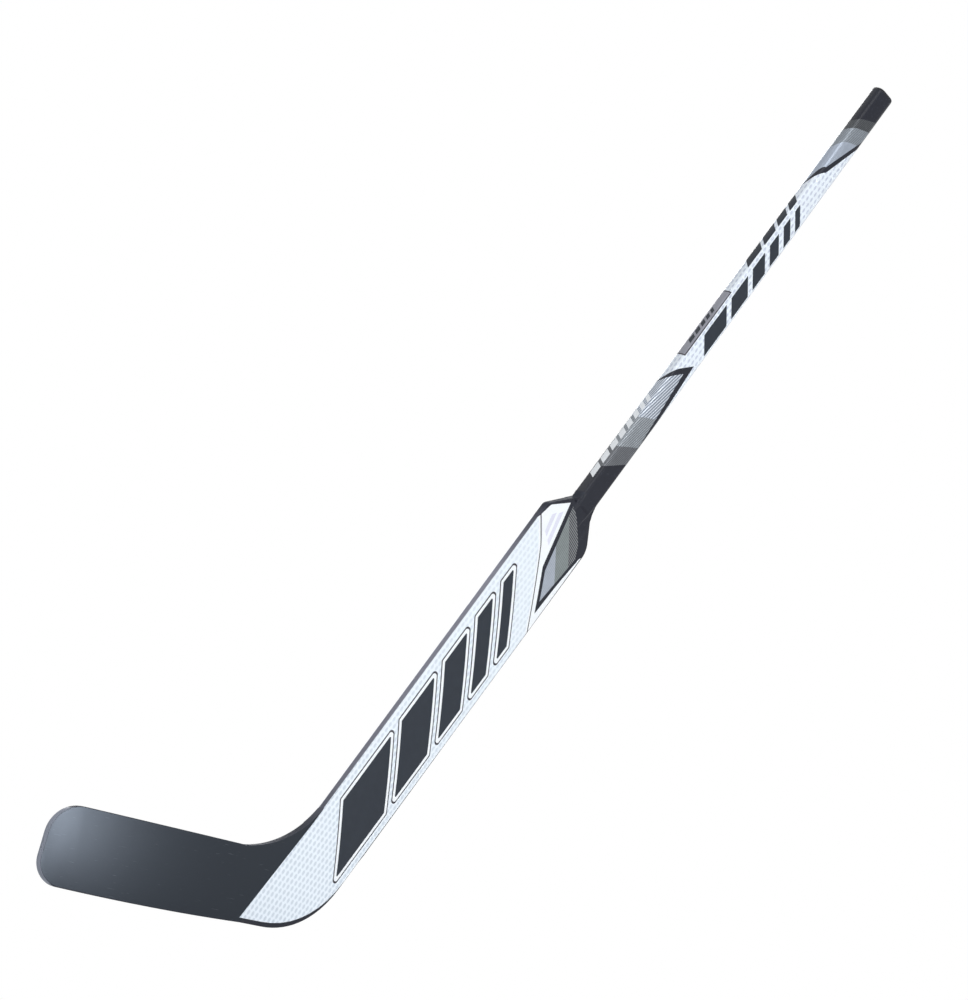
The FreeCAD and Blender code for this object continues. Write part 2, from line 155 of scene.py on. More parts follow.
def add_node(tree: NodeTree, kind: str, inputs: dict | Sequence = (), **settings: str) -> Node:
    """Adds a node with its settings and links.

    Args:
        tree: node tree that gets the node.
        kind: end of the node's type name, after ShaderNode.
        inputs: what goes into the node, as feed takes it.
        settings: attributes of the node.

    Returns:
        The new node.
    """
    node = tree.nodes.new(f"ShaderNode{kind}")
    for name, setting in settings.items():
        setattr(node, name, setting)
    feed(tree, node, inputs)
    return node


@dataclass(frozen=True)
class Finish:
    """A surface with one colour, a soft mottle and a slightly uneven gloss."""

    name: str
    colour: str
    roughness: float
    ior: float = 1.5
    mottle_mm: float = 9.0
    mottle: float = 0.05
    grain_mm: float = 0.8
    grain_depth_mm: float = 0.002
    gleam: str = "#FFFFFF"
    metal: float = 0.0

    made: ClassVar[dict[str, Material]] = {}

    def material(self) -> Material:
        """Gives the finish's material, which is made once.

        Returns:
            The material.
        """
        if self.name not in self.made:
            material = bpy.data.materials.new(self.name)
            material.use_nodes = True
            material.diffuse_color = linear(self.colour)
            self.dress(material.node_tree)
            self.made[self.name] = material
        return self.made[self.name]

    def dress(self, tree: NodeTree) -> None:
        """Gives the shader the finish's colour, gloss and grain.

        Args:
            tree: the material's node tree.
        """
        place = add_node(tree, "TexCoord").outputs["Object"]
        patches, grain = (
            add_node(tree, "TexNoise", {"Vector": place, "Scale": 1 / (size_mm * MM), "Detail": detail})
            for size_mm, detail in ((self.mottle_mm, 4.0), (self.grain_mm, 2.0)))
        level, rough = (
            add_node(tree, "MapRange", (noise, *NOISE_REACH, middle - swing, middle + swing))
            for noise, middle, swing in ((patches, 1.0, self.mottle), (grain, self.roughness, GLOSS_SWING)))
        colour = add_node(tree, "VectorMath", {0: self.base(tree, place), "Scale": level}, operation="SCALE")
        bump = add_node(tree, "Bump", {
            "Height": grain, "Strength": 1.0, "Distance": self.grain_depth_mm * MM})
        feed(tree, tree.nodes["Principled BSDF"], {
            "Base Color": colour, "Roughness": rough, "Normal": bump, "IOR": self.ior,
            "Metallic": self.metal, "Specular Tint": linear(self.gleam)})

    def base(self, tree: NodeTree, place: NodeSocket) -> Paint:
        """Gives the colour before the mottle: red, green and blue, or a node."""
        return linear(self.colour)[:3]


@dataclass(frozen=True)
class HoneycombPrint(Finish):
    """White film with staggered pale dashes, the shaded sides of a printed honeycomb."""

    ior: float = 1.45
    mottle: float = 0.015
    dash_colour: str = "#CBD6E2"
    pitch_mm: float = 5.68
    row_mm: float = 6.64
    lie: float = math.radians(66.5)
    dash_length_mm: float = 6.8
    dash_width_mm: float = 3.4
    dash_tilt: float = math.radians(73)
    # A dash fades out between these shares of its half size
    dash_fade: tuple[float, float] = (0.5, 1.3)
    # The print is full at the heel and faint from the shoulder up
    full_u: float = -500.0
    faint_u: float = -150.0
    faint: float = 0.55

    def base(self, tree: NodeTree, place: NodeSocket) -> Paint:
        """Lays the dashes on the white, in rows that are half a pitch out of step.

        Args:
            tree: the material's node tree.
            place: coordinates on the object.

        Returns:
            The node that gives the colour.
        """
        on_film = add_node(tree, "UVMap", uv_map=PRINT_MAP)
        rows = add_node(tree, "Mapping", {"Vector": on_film, "Rotation": (0.0, 0.0, self.lie)})
        half = (self.pitch_mm * MM / 2, self.row_mm * MM, 1.0)
        low = tuple(-size for size in half)
        between = add_node(tree, "VectorMath", (rows, (*half[:2], 0.0)), operation="ADD")
        cells = [add_node(tree, "VectorMath", (given, half, low), operation="WRAP")
                 for given in (rows, between)]
        reach = [add_node(tree, "VectorMath", [cell], operation="LENGTH").outputs["Value"] for cell in cells]
        second = add_node(tree, "Math", reach, operation="GREATER_THAN")
        nearest = add_node(tree, "MixRGB", (second, *cells))
        turned = add_node(tree, "VectorRotate", {"Vector": nearest, "Angle": -self.dash_tilt},
                          rotation_type="Z_AXIS")
        shape = (2 / (self.dash_length_mm * MM), 2 / (self.dash_width_mm * MM), 0.0)
        shaped = add_node(tree, "VectorMath", (turned, shape), operation="MULTIPLY")
        out = add_node(tree, "VectorMath", [shaped], operation="LENGTH").outputs["Value"]
        dash = add_node(tree, "MapRange", (out, *self.dash_fade, 1.0, 0.0), interpolation_type="SMOOTHSTEP")
        along = add_node(tree, "SeparateXYZ", [on_film]).outputs["X"]
        strength = add_node(tree, "MapRange", (along, self.full_u * MM, self.faint_u * MM, 1.0, self.faint))
        share = add_node(tree, "Math", (dash, strength), operation="MULTIPLY")
        return add_node(tree, "MixRGB", (share, linear(self.colour), linear(self.dash_colour)))


@dataclass(frozen=True)
class PinstripePrint(Finish):
    """Grey film with fine pale lines, drawn wider than the real ones so that they show."""

    ior: float = 1.45
    metal: float = 0.35
    line_colour: str = "#C9CED6"
    pitch_mm: float = 2.2
    line_mm: float = 1.0
    turn: float = math.radians(11)
    # A line fades out between these shares of its width
    line_fade: tuple[float, float] = (0.25, 0.75)

    def base(self, tree: NodeTree, place: NodeSocket) -> Paint:
        """Draws the lines on the grey.

        Args:
            tree: the material's node tree.
            place: coordinates on the object.

        Returns:
            The node that gives the colour.
        """
        on_film = add_node(tree, "UVMap", uv_map=PRINT_MAP)
        lines = add_node(tree, "Mapping", {"Vector": on_film, "Rotation": (0.0, 0.0, self.turn)})
        across = add_node(tree, "SeparateXYZ", [lines]).outputs["Y"]
        swing = add_node(tree, "Math", (across, self.pitch_mm * MM / 2), operation="PINGPONG")
        fade = (self.line_mm * MM * share for share in self.line_fade)
        line = add_node(tree, "MapRange", (swing, *fade, 1.0, 0.0))
        return add_node(tree, "MixRGB", (line, linear(self.colour), linear(self.line_colour)))


@dataclass(frozen=True)
class HatchPrint(PinstripePrint):
    """Grey film with a hatch across the paddle."""

    ior: float = 1.4
    metal: float = 0.0
    turn: float = math.radians(97)


@dataclass(frozen=True)
class ScuffedLaminate(Finish):
    """Dark laminate with a few faint pale scratches from handling."""

    scratch_colour: str = "#8C939D"
    scratch_length_mm: float = 16.0
    scratch_width_mm: float = 0.7
    scratch_share: float = 0.2
    # A scratch comes in between these values of the noise
    scratch_reach: tuple[float, float] = (0.76, 0.81)
    turns: tuple[float, ...] = (math.radians(20), math.radians(-48))

    def base(self, tree: NodeTree, place: NodeSocket) -> Paint:
        """Draws stretched specks in two directions over the dark colour.

        Args:
            tree: the material's node tree.
            place: coordinates on the object.

        Returns:
            The node that gives the colour.
        """
        colour: Paint = linear(self.colour)
        long, thin = 1 / (self.scratch_length_mm * MM), 1 / (self.scratch_width_mm * MM)
        for turn in self.turns:
            along = add_node(tree, "Mapping", {
                "Vector": place, "Rotation": (0.0, turn, 0.0), "Scale": (long, long, thin)})
            streaks = add_node(tree, "TexNoise", {"Vector": along, "Scale": 1.0, "Detail": 1.0})
            scratch = add_node(tree, "MapRange", (streaks, *self.scratch_reach, 0.0, self.scratch_share))
            colour = add_node(tree, "MixRGB", (scratch, colour, linear(self.scratch_colour)))
        return colour


@dataclass(frozen=True)
class PlyEdge(Finish):
    """Lacquered edge of a glued stack, with its plies as thin lines, sprayed dark at both ends."""

    ply_colour: str = "#9A9BA9"
    ply_mm: float = 1.9
    line_share: float = 0.15
    # A glue line fades out between these distances from its middle
    line_fade_mm: tuple[float, float] = (0.1, 0.5)
    # Places up the stick, and how far the ply shows through the dark spray there
    spray: tuple[tuple[float, float], ...] = (
        (-490.0, 0.1), (-430.0, 0.62), (-300.0, 0.85), (-130.0, 1.0), (-60.0, 0.3), (-42.0, 0.05))

    def base(self, tree: NodeTree, place: NodeSocket) -> Paint:
        """Lays the spray over the plies and their glue lines.

        Args:
            tree: the material's node tree.
            place: coordinates on the object.

        Returns:
            The node that gives the colour.
        """
        turned = add_node(tree, "Mapping", {"Vector": place, "Rotation": (0.0, SHAFT_LIE, 0.0)})
        axes = add_node(tree, "SeparateXYZ", [turned]).outputs
        first, last = self.spray[0][0], self.spray[-1][0]
        along = add_node(tree, "MapRange", (axes["X"], first * MM, last * MM, 0.0, 1.0))
        ramp = add_node(tree, "ValToRGB", [along])
        stops = ramp.color_ramp.elements
        for _ in self.spray[2:]:
            stops.new(0.5)
        for stop, (up, share) in zip(stops, self.spray):
            stop.position = (up - first) / (last - first)
            stop.color = (share, share, share, 1.0)
        swing = add_node(tree, "Math", (axes["Y"], self.ply_mm * MM / 2), operation="PINGPONG")
        fade = (distance * MM for distance in self.line_fade_mm)
        line = add_node(tree, "MapRange", (swing, *fade, 1 - self.line_share, 1.0))
        shown = add_node(tree, "Math", (ramp, line), operation="MULTIPLY")
        return add_node(tree, "MixRGB", (shown, linear(self.colour), linear(self.ply_colour)))


@dataclass(frozen=True)
class SawnWood(Finish):
    """Wood with its grain along the shaft."""

    dark_colour: str = "#8A6238"
    ring_mm: float = 5.0
    # The rings are stretched along the grain by one over this
    squeeze: float = 0.05

    def base(self, tree: NodeTree, place: NodeSocket) -> Paint:
        """Draws stretched growth rings.

        Args:
            tree: the material's node tree.
            place: coordinates on the object.

        Returns:
            The node that gives the colour.
        """
        along = add_node(tree, "Mapping", {
            "Vector": place, "Rotation": (0.0, SHAFT_LIE, 0.0), "Scale": (self.squeeze, 1.0, 1.0)})
        rings = add_node(tree, "TexNoise", {"Vector": along, "Scale": 1 / (self.ring_mm * MM), "Detail": 3.0})
        return add_node(tree, "MixRGB", (rings, linear(self.colour), linear(self.dark_colour)))


# Lacquered carbon laminate: near black with a cool cast and a soft highlight along the corners
SHAFT_LACQUER = ScuffedLaminate("satin lacquered carbon laminate", "#1F222C", 0.33, ior=1.33)
# Matte sprayed laminate: darker, with a broad bluish sheen where the toe turns to the light
BLADE_LACQUER = ScuffedLaminate("matte sprayed carbon laminate", "#070B12", 0.31, ior=1.52, gleam="#DCEBFF")
# Printed film under clear lacquer: cool white with pale grey dashes
HONEYCOMB = HoneycombPrint("honeycomb printed film", "#E9F2FB", 0.28)
# The shaft's film: smaller and clearer dashes
SHAFT_HONEYCOMB = HoneycombPrint("honeycomb shaft film", "#E9F2FB", 0.28, dash_colour="#BCC4D8",
                                 dash_length_mm=6.0, dash_width_mm=2.6, faint=0.8)
# The same film without dashes: an even cool white
PLAIN_WHITE = Finish("plain white film", "#F0F5FA", 0.28, ior=1.45, mottle=0.015)
# White film with a faint tint, for stripes that only show from close by
PALE_TINT = Finish("pale lavender print", "#DCDFEE", 0.28, ior=1.45, mottle=0.015)
# Solid dark print: charcoal with a satin face
CHARCOAL = Finish("charcoal printed film", "#2C323B", 0.36, ior=1.3)
# Thin outline print: a softer dark grey
OUTLINE = Finish("dark outline print", "#3C3A42", 0.36, ior=1.3)
# Silver grey prints of the shaft: lines run a little askew to the stick and brighten along its corners
LIGHT_GREY = PinstripePrint("light grey pinstripe film", "#727C89", 0.34, line_colour="#CFD6E1",
                            pitch_mm=2.8, line_mm=1.3)
MID_GREY = PinstripePrint("mid grey pinstripe film", "#696F76", 0.34, line_colour="#9DA3A9")
DARK_GREY = PinstripePrint("dark grey pinstripe film", "#4C4F55", 0.34, line_colour="#6E7176",
                           pitch_mm=1.9, line_mm=0.9)
# Like greys at the butt: one plain silver, two with close lines
BUTT_LIGHT = Finish("plain silver film", "#9AA3B1", 0.36, ior=1.45, metal=0.5, mottle=0.03)
BUTT_MID = PinstripePrint("silver lined film", "#70777F", 0.36, metal=0.45, line_colour="#8D949C")
BUTT_DARK = PinstripePrint("charcoal lined film", "#3A3D42", 0.34, ior=1.4, line_colour="#54575A",
                           pitch_mm=1.9, line_mm=0.9)
# Grey prints of the shoulder: flat greys with a faint hatch, which is clear on the dark one
LIGHT_HATCH = HatchPrint("light grey hatched film", "#99A2AF", 0.28, line_colour="#A9B1BD")
MID_HATCH = HatchPrint("mid grey hatched film", "#717A7B", 0.28, line_colour="#858D8F")
DARK_HATCH = HatchPrint("dark grey hatched film", "#3D4046", 0.28, line_colour="#888B8E", line_mm=0.8)
# Print of the shaft's side panel: a flat grey with a soft cloudiness
PANEL_GREY = Finish("grey printed panel", "#9395A0", 0.3, ior=1.4, mottle_mm=20.0, mottle=0.08)
# Stack of wood and laminate under matte spray: grey with fine lines, near black at its ends
EDGE = PlyEdge("sprayed ply edge", "#343840", 0.6, ior=1.08)
# The toe's end, painted a soft blue grey: a painted sheen in place of the light that its rounded end catches
TOE_PAINTED_SHEEN = Finish("toe edge with painted sheen", "#9298A6", 0.45, ior=1.2, mottle_mm=4.0)
# Injection moulded end plug: black with a fine spark-eroded grain
PLUG = Finish("moulded black plastic", "#1D1F25", 0.45, ior=1.35, grain_mm=0.6, grain_depth_mm=0.02)
# Sealed inside the stick: pale wood, cream foam and greenish bare laminate
WOOD = SawnWood("sawn aspen", "#C9A878", 0.7)
FOAM = Finish("rigid foam", "#E3DCC0", 0.85, mottle_mm=2.0, mottle=0.08, grain_mm=0.9, grain_depth_mm=0.2)
GLASS = Finish("bare glass laminate", "#8D9684", 0.4, mottle_mm=3.0)


# Shapes

def stick_axes(record: dict) -> Matrix:
    """Reads the stick's own axes from the grip mount.

    Args:
        record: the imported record.

    Returns:
        The matrix from millimetres in the stick's axes to metres in the row frame.
    """
    grip = next(mount for mount in record["mounts"] if mount["name"] == "blocker_grip")
    up_shaft = Vector(grip["axis"]).normalized()
    outward = Vector((0.0, -1.0, 0.0))
    axes = Matrix((up_shaft, outward.cross(up_shaft), outward)).transposed()
    return axes.to_4x4() @ Matrix.Scale(MM, 4)


STICK = stick_axes(frame["record"])
TO_STICK = STICK.inverted()
# From heel to toe in the stick's axes, and where the toe begins along that direction
TO_TOE = (TO_STICK.to_3x3() @ Vector((-1.0, 0.0, 0.0))).normalized()
TOE_START = 450.0
# Shares of a normal: over the first two a face looks to the toe, or to the front or back,
# and with less than the third to the front or back it belongs to a narrow side
TOWARD_TOE = 0.4
TOWARD_FACE = 0.8
ASIDE = 0.2
# Shorter edges are dissolved, and places nearer than the second length count as the same
SLIVER = 0.004
NEAR = 0.05
# Faces that meet at more than this angle keep a sharp edge between them
CREASE = math.radians(35)


@dataclass(frozen=True)
class Plane:
    """A cut through the stick: points with u * up + v * across + w * out over a limit are above it."""

    limit: float
    across: float = 0.0
    out: float = 0.0
    up: float = 1.0

    @classmethod
    def square_to(cls, axis: int, limit: float) -> "Plane":
        """Gives the cut that is square to u, v or w, by the number of that axis."""
        return cls(limit, float(axis == 1), float(axis == 2), float(axis == 0))

    def cut(self, mesh: BMesh, keep_above: bool | None = None, geom: Sequence = (),
            dist: float = 0.0) -> None:
        """Cuts a mesh.

        Args:
            mesh: mesh in the stick's axes.
            keep_above: whether the side above the plane stays or the side below it, or None for both.
            geom: vertices, edges and faces that are cut, if not all.
            dist: how near to the plane a vertex lies on it.
        """
        normal = Vector((self.up, self.across, self.out))
        bmesh.ops.bisect_plane(
            mesh, geom=geom or [*mesh.verts, *mesh.edges, *mesh.faces], dist=dist, plane_no=normal,
            plane_co=normal * self.limit / normal.length_squared,
            clear_inner=keep_above is True, clear_outer=keep_above is False)


@dataclass(frozen=True)
class Section:
    """A rounded rectangle square to the shaft."""

    u: float
    width: float
    depth: float
    radius: float

    def add_to(self, mesh: BMesh, corner_parts: int) -> BMFace:
        """Adds the section to a mesh as one face.

        Args:
            mesh: mesh in the stick's axes.
            corner_parts: number of edges in a rounded corner.

        Returns:
            The new face.
        """
        known = set(mesh.faces)
        place = Matrix(((0, 0, 1, self.u), (self.width, 0, 0, 0), (0, self.depth, 0, 0), (0, 0, 0, 1)))
        corners = bmesh.ops.create_grid(mesh, x_segments=1, y_segments=1, size=0.5, matrix=place)["verts"]
        bmesh.ops.bevel(mesh, geom=corners, offset=self.radius, offset_type="OFFSET", segments=corner_parts,
                        profile=0.5, affect="VERTICES", material=-1)
        return next(face for face in mesh.faces if face not in known)


def loft(sections: Sequence[Section], capped: bool, corner_parts: int = 8) -> BMesh:
    """Joins sections into a skin.

    Args:
        sections: sections in order along the shaft.
        capped: whether the ends are closed.
        corner_parts: number of edges in a rounded corner.

    Returns:
        The skin in the stick's axes.
    """
    mesh = bmesh.new()
    faces = [section.add_to(mesh, corner_parts) for section in sections]
    for lower, upper in zip(faces, faces[1:]):
        bmesh.ops.bridge_loops(mesh, edges=[*lower.edges, *upper.edges])
    bmesh.ops.delete(mesh, geom=faces[1:-1] if capped else faces, context="FACES_ONLY")
    bmesh.ops.recalc_face_normals(mesh, faces=mesh.faces[:])
    return mesh


@dataclass(frozen=True)
class Corner:
    """A corner of an outline, with the radius that rounds it."""

    u: float
    v: float
    radius: float = 0.0

    @property
    def place(self) -> Vector:
        """The corner's place on the face."""
        return Vector((self.u, self.v))


def rounded(corners: Sequence[Corner], step: float = math.radians(7)) -> list[Vector]:
    """Rounds an outline's corners by arcs.

    Args:
        corners: corners in order.
        step: largest turn between two points of an arc.

    Returns:
        The outline's points.
    """
    points = []
    for number, corner in enumerate(corners):
        if corner.radius == 0:
            points.append(corner.place)
            continue
        to_last = (corners[number - 1].place - corner.place).normalized()
        to_next = (corners[(number + 1) % len(corners)].place - corner.place).normalized()
        half = to_last.angle(to_next) / 2
        centre = corner.place + (to_last + to_next).normalized() * corner.radius / math.sin(half)
        first = corner.place + to_last * corner.radius / math.tan(half) - centre
        turn = math.copysign(math.pi - 2 * half, to_next.cross(to_last))
        count = math.ceil(abs(turn) / step)
        points += [centre + Matrix.Rotation(turn * part / count, 2) @ first for part in range(count + 1)]
    return points


@dataclass(frozen=True)
class FadingRow:
    """A row of slanted bars that shorten up the stick.

    The lowest bar begins at start and is first long. Each next one is ratio times as long, after a gap.
    The bars reach equally far to both sides of the middle, and slope is their ends' rise across the row.
    """

    start: float
    first: float
    ratio: float
    count: int
    gap: float
    slope: float
    reach: float

    def spans(self) -> list[tuple[float, float]]:
        """Works out where the bars lie.

        Returns:
            Each bar's lower and upper end at the middle of the row.
        """
        spans = []
        low = self.start
        for number in range(self.count):
            high = low + self.first * self.ratio ** number
            spans.append((low, high))
            low = high + self.gap
        return spans


def node_mesh(name: str) -> BMesh:
    """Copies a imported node's mesh and merges its triangles.

    Args:
        name: the node's name.

    Returns:
        The copy, in millimetres in the stick's axes.
    """
    mesh = bmesh.new()
    mesh.from_mesh(frame["nodes"][name].data)
    bmesh.ops.remove_doubles(mesh, verts=mesh.verts[:], dist=1e-6)
    bmesh.ops.transform(mesh, matrix=TO_STICK, verts=mesh.verts[:])
    return mesh


def node_reach(name: str) -> tuple[Vector, ...]:
    """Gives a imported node's lowest and highest corner in the stick's axes, in millimetres."""
    places = [TO_STICK @ vertex.co for vertex in frame["nodes"][name].data.vertices]
    return tuple(Vector(pick(place[axis] for place in places) for axis in range(3)) for pick in (min, max))


def add_object(name: str, data: ID) -> Object:
    """Puts a mesh, a lamp or a camera into the scene.

    Args:
        name: the object's name.
        data: what the object holds.

    Returns:
        The new object, at the origin.
    """
    made = bpy.data.objects.new(name, data)
    bpy.context.scene.collection.objects.link(made)
    return made


def is_toe_end(face: BMFace) -> bool:
    """Tells whether a face lies at the toe and looks away from the heel."""
    return face.normal.dot(TO_TOE) > TOWARD_TOE and face.calc_center_median().dot(TO_TOE) > TOE_START


def finish_piece(mesh: BMesh, name: str, finish: Finish, slot: Slot | None = None, node: str = "",
                 rim: Finish | None = None, toe: Finish | None = None) -> None:
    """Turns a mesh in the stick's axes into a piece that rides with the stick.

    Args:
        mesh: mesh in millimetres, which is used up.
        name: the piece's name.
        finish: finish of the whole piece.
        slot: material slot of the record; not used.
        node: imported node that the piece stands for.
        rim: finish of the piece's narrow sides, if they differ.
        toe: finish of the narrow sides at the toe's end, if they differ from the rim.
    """
    if rim:
        for face in mesh.faces:
            if abs(face.normal.z) < TOWARD_FACE:
                face.material_index = 2 if toe and is_toe_end(face) else 1
    # Cuts that pass close by a corner leave slivers
    bmesh.ops.dissolve_degenerate(mesh, dist=SLIVER, edges=mesh.edges[:])
    bmesh.ops.transform(mesh, matrix=STICK, verts=mesh.verts[:])
    data = bpy.data.meshes.new(name)
    mesh.to_mesh(data)
    mesh.free()
    data.shade_smooth()
    data.set_sharp_from_angle(angle=CREASE)
    for each in filter(None, (finish, rim, toe)):
        data.materials.append(each.material())
    piece = add_object(name, data)
    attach(piece, BODY)
    if node:
        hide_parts(node)
    LOG.info("%s: %d faces, %s", name, len(data.polygons), finish.name)


@dataclass(frozen=True)
class Rim:
    """The rounded outer rim of a laminate skin."""

    radius: float
    # The rounding runs up to here, and along the seam between paddle and blade the skins stay sharp
    top: float
    seam_top: float = -460.0
    seam_v: float = field(default_factory=lambda: node_reach("paddle_front_skin")[1].y)
    # The rounding ends within this length
    run_out: float = 2.0
    # Free width that it needs beside the edge, in radii
    room: float = 1.1
    segments: int = 6
    # Faces that meet at less than this angle become one, and a cut this near to a vertex goes through it
    flat_angle: float = math.radians(0.2)
    snap: float = 0.01

    def is_free(self, edge: BMEdge) -> bool:
        """Tells whether an edge belongs to the part of the rim that is rounded.

        Args:
            edge: edge of a skin in the stick's axes.

        Returns:
            Whether it lies under the rounding's top and off the seam.
        """
        ends = [vertex.co for vertex in edge.verts]
        at_seam = all(abs(end.y - self.seam_v) < NEAR and end.x < self.seam_top + NEAR for end in ends)
        return not at_seam and all(end.x < self.top + NEAR for end in ends)

    def round_off(self, mesh: BMesh, side: Side) -> None:
        """Rounds the rim.

        Args:
            mesh: skin in the stick's axes.
            side: face of the stick that the skin lies on.
        """
        bmesh.ops.dissolve_limit(mesh, angle_limit=self.flat_angle, verts=mesh.verts[:], edges=mesh.edges[:])
        for end in (self.top, self.top + self.run_out, self.seam_top, self.seam_top - self.run_out):
            Plane(end).cut(mesh, dist=self.snap)
        self.clear_slivers(mesh, self.edges(mesh, side))
        bmesh.ops.bevel(mesh, geom=self.edges(mesh, side), offset=self.radius, offset_type="OFFSET",
                        segments=self.segments, profile=0.5, affect="EDGES", material=-1, clamp_overlap=False)

    def edges(self, mesh: BMesh, side: Side) -> list[BMEdge]:
        """Finds the edges that are rounded.

        Args:
            mesh: skin in the stick's axes.
            side: face of the stick that the skin lies on.

        Returns:
            The free edges between the face and the narrow side.
        """
        rim = []
        for edge in mesh.edges:
            lean = sorted(face.normal.z * side.value for face in edge.link_faces)
            if len(lean) == 2 and lean[1] > TOWARD_FACE and abs(lean[0]) < ASIDE and self.is_free(edge):
                rim.append(edge)
        return rim

    def clear_slivers(self, mesh: BMesh, rim: Sequence[BMEdge]) -> None:
        """Dissolves edges on the face that run so close to the rim that they would stop the rounding.

        Args:
            mesh: skin in the stick's axes.
            rim: edges that will be rounded.
        """
        close = set()
        for edge, vertex in ((edge, vertex) for edge in rim for vertex in edge.verts):
            along = edge.other_vert(vertex).co - vertex.co
            for other in set(vertex.link_edges).difference(rim):
                way = other.other_vert(vertex).co - vertex.co
                on_face = all(abs(face.normal.z) > TOWARD_FACE for face in other.link_faces)
                if on_face and way.length * math.sin(way.angle(along)) < self.room * self.radius:
                    close.add(other)
        bmesh.ops.dissolve_edges(mesh, edges=list(close), use_verts=False)


# Sub-assemblies

@dataclass
class Shaft:
    """Tube, end plug and the films wrapped round the tube."""

    wall: float = 2.0
    glue_gap: float = 0.1
    film: float = 0.05
    layers: int = 4
    low: Vector = field(default_factory=lambda: node_reach("shaft_tube")[0])
    high: Vector = field(default_factory=lambda: node_reach("shaft_tube")[1])
    # The tube's corners are rounder toward the butt
    corner_low: float = 4.5
    corner_high: float = 7.5

    plug_low: float = field(default_factory=lambda: node_reach("butt_end_plug")[0].x)
    plug_high: float = field(default_factory=lambda: node_reach("butt_end_plug")[1].x)
    plug_step: float = 0.3
    plug_dome: float = 3.0
    plug_rings: int = 6

    # Slanted cuts of the wrap, as measured up the shaft
    butt_bands: tuple[Plane, ...] = (
        Plane(518.0, 0.52, -0.5), Plane(505.3, 0.45, -0.5), Plane(482.2, 0.45, -0.97))
    # The butt's lower edge and the white's upper edge turn at the tube's corner
    butt_edges: tuple[Plane, Plane] = (Plane(461.9, 2.71, -1.8), Plane(417.0, -1.5, -2.6))
    white_tops: tuple[Plane, Plane] = (Plane(448.0, 3.04, -1.8), Plane(436.5, 0.68, -1.54))
    white_bottom: Plane = Plane(172.0, 1.08, -1.2)
    white_right: Plane = Plane(-19.5, 1.0, 0.0, -0.078)
    panel_top: Plane = Plane(167.3, 1.08, -0.67)
    panel_right: Plane = Plane(-17.8, 1.0, 0.0, -0.104)
    panel_bands: tuple[Plane, ...] = (Plane(111.5, 0.64), Plane(72.0, 0.72), Plane(47.0, 0.94))

    # Printed panel on the narrow side that faces the blade
    side_panel_low: float = 190.0
    side_panel_high: float = 275.0
    side_panel_out: float = 6.0
    side_panel_depth: float = 1.5
    side_panel_line: float = 1.4
    side_panel_dashes: FadingRow = FadingRow(206.0, 9.0, 0.85, 5, 3.0, 0.6, 3.0)

    # Rows of bars, which are cut off this far under their flat side
    row_depth: float = 1.0
    face_bars: FadingRow = FadingRow(212.0, 42.0, 0.74, 6, 9.0, -1.0, 8.0)
    upper_bars: FadingRow = FadingRow(314.0, 26.0, 0.8, 4, 5.0, 0.8, 5.5)
    grip_dashes: FadingRow = FadingRow(22.0, 15.0, 0.87, 8, 4.5, 0.6, 4.5)

    def corner_at(self, u: float) -> float:
        """Gives the rounding of the tube's corners at some height."""
        share = (u - self.low.x) / (self.high.x - self.low.x)
        return self.corner_low + (self.corner_high - self.corner_low) * share

    def section(self, u: float, sink: float) -> Section:
        """Gives the tube's section at some height, sunk under its finished surface."""
        size = self.high - self.low
        return Section(u, size.y - 2 * sink, size.z - 2 * sink, self.corner_at(u) - sink)

    def sleeve(self, sink: float) -> BMesh:
        """Makes the tube's outer skin, open at its ends.

        Args:
            sink: how far the skin lies under the tube's finished surface.

        Returns:
            The skin in the stick's axes.
        """
        mesh = loft([self.section(self.low.x, sink), self.section(self.high.x, sink)], capped=False)
        # The wrap meets itself along the middle of the narrow side that faces away from the blade
        Plane.square_to(2, 0.0).cut(mesh)
        return mesh

    def girth(self, place: Vector, on_front: bool) -> float:
        """Measures round the tube from the middle of the narrow side that faces the blade.

        Args:
            place: point on the skin.
            on_front: whether the point belongs to the front half.

        Returns:
            Length round the tube, negative on the front half.
        """
        radius = self.corner_at(place.x)
        flat_v, flat_w = self.high.y - radius, self.high.z - radius
        core_v = max(-flat_v, min(flat_v, place.y))
        core_w = min(flat_w, abs(place.z))
        if core_w == flat_w:
            turn = math.atan2(abs(place.z) - core_w, place.y - core_v)
            length = flat_w + radius * turn + flat_v - core_v
        elif place.y > 0:
            length = core_w
        else:
            length = 2 * flat_w + 2 * flat_v + radius * math.pi - core_w
        return -length if on_front else length

    def wrap(self, name: str, finish: Finish, cuts: Iterable[tuple[Plane, bool]], layer: int = 1,
             slot: Slot | None = None) -> None:
        """Makes one film of the wrap.

        Args:
            name: the piece's name.
            finish: the film's finish.
            cuts: planes, and whether what lies above each stays.
            layer: 1 on the tube, 2 on another film, and so on.
            slot: material slot of the record.
        """
        mesh = self.sleeve(self.film * (self.layers - layer))
        for plane, keep_above in dict.fromkeys(cuts):
            plane.cut(mesh, keep_above)
        layer_map = mesh.loops.layers.uv.new(PRINT_MAP)
        for face in mesh.faces:
            on_front = face.calc_center_median().z > 0
            for loop in face.loops:
                loop[layer_map].uv = (loop.vert.co.x * MM, self.girth(loop.vert.co, on_front) * MM)
        bmesh.ops.solidify(mesh, geom=mesh.faces[:], thickness=self.film)
        finish_piece(mesh, name, finish, slot)

    def build(self) -> None:
        """Builds the tube, the plug and the wrap."""
        tube = self.sleeve(self.film * self.layers)
        bmesh.ops.solidify(tube, geom=tube.faces[:], thickness=self.wall - self.film * self.layers)
        finish_piece(tube, "shaft_tube_laminate", SHAFT_LACQUER, Slot.SHAFT, "shaft_tube")
        self.build_plug()
        self.build_butt()
        self.build_middle()
        self.build_lower_panel()

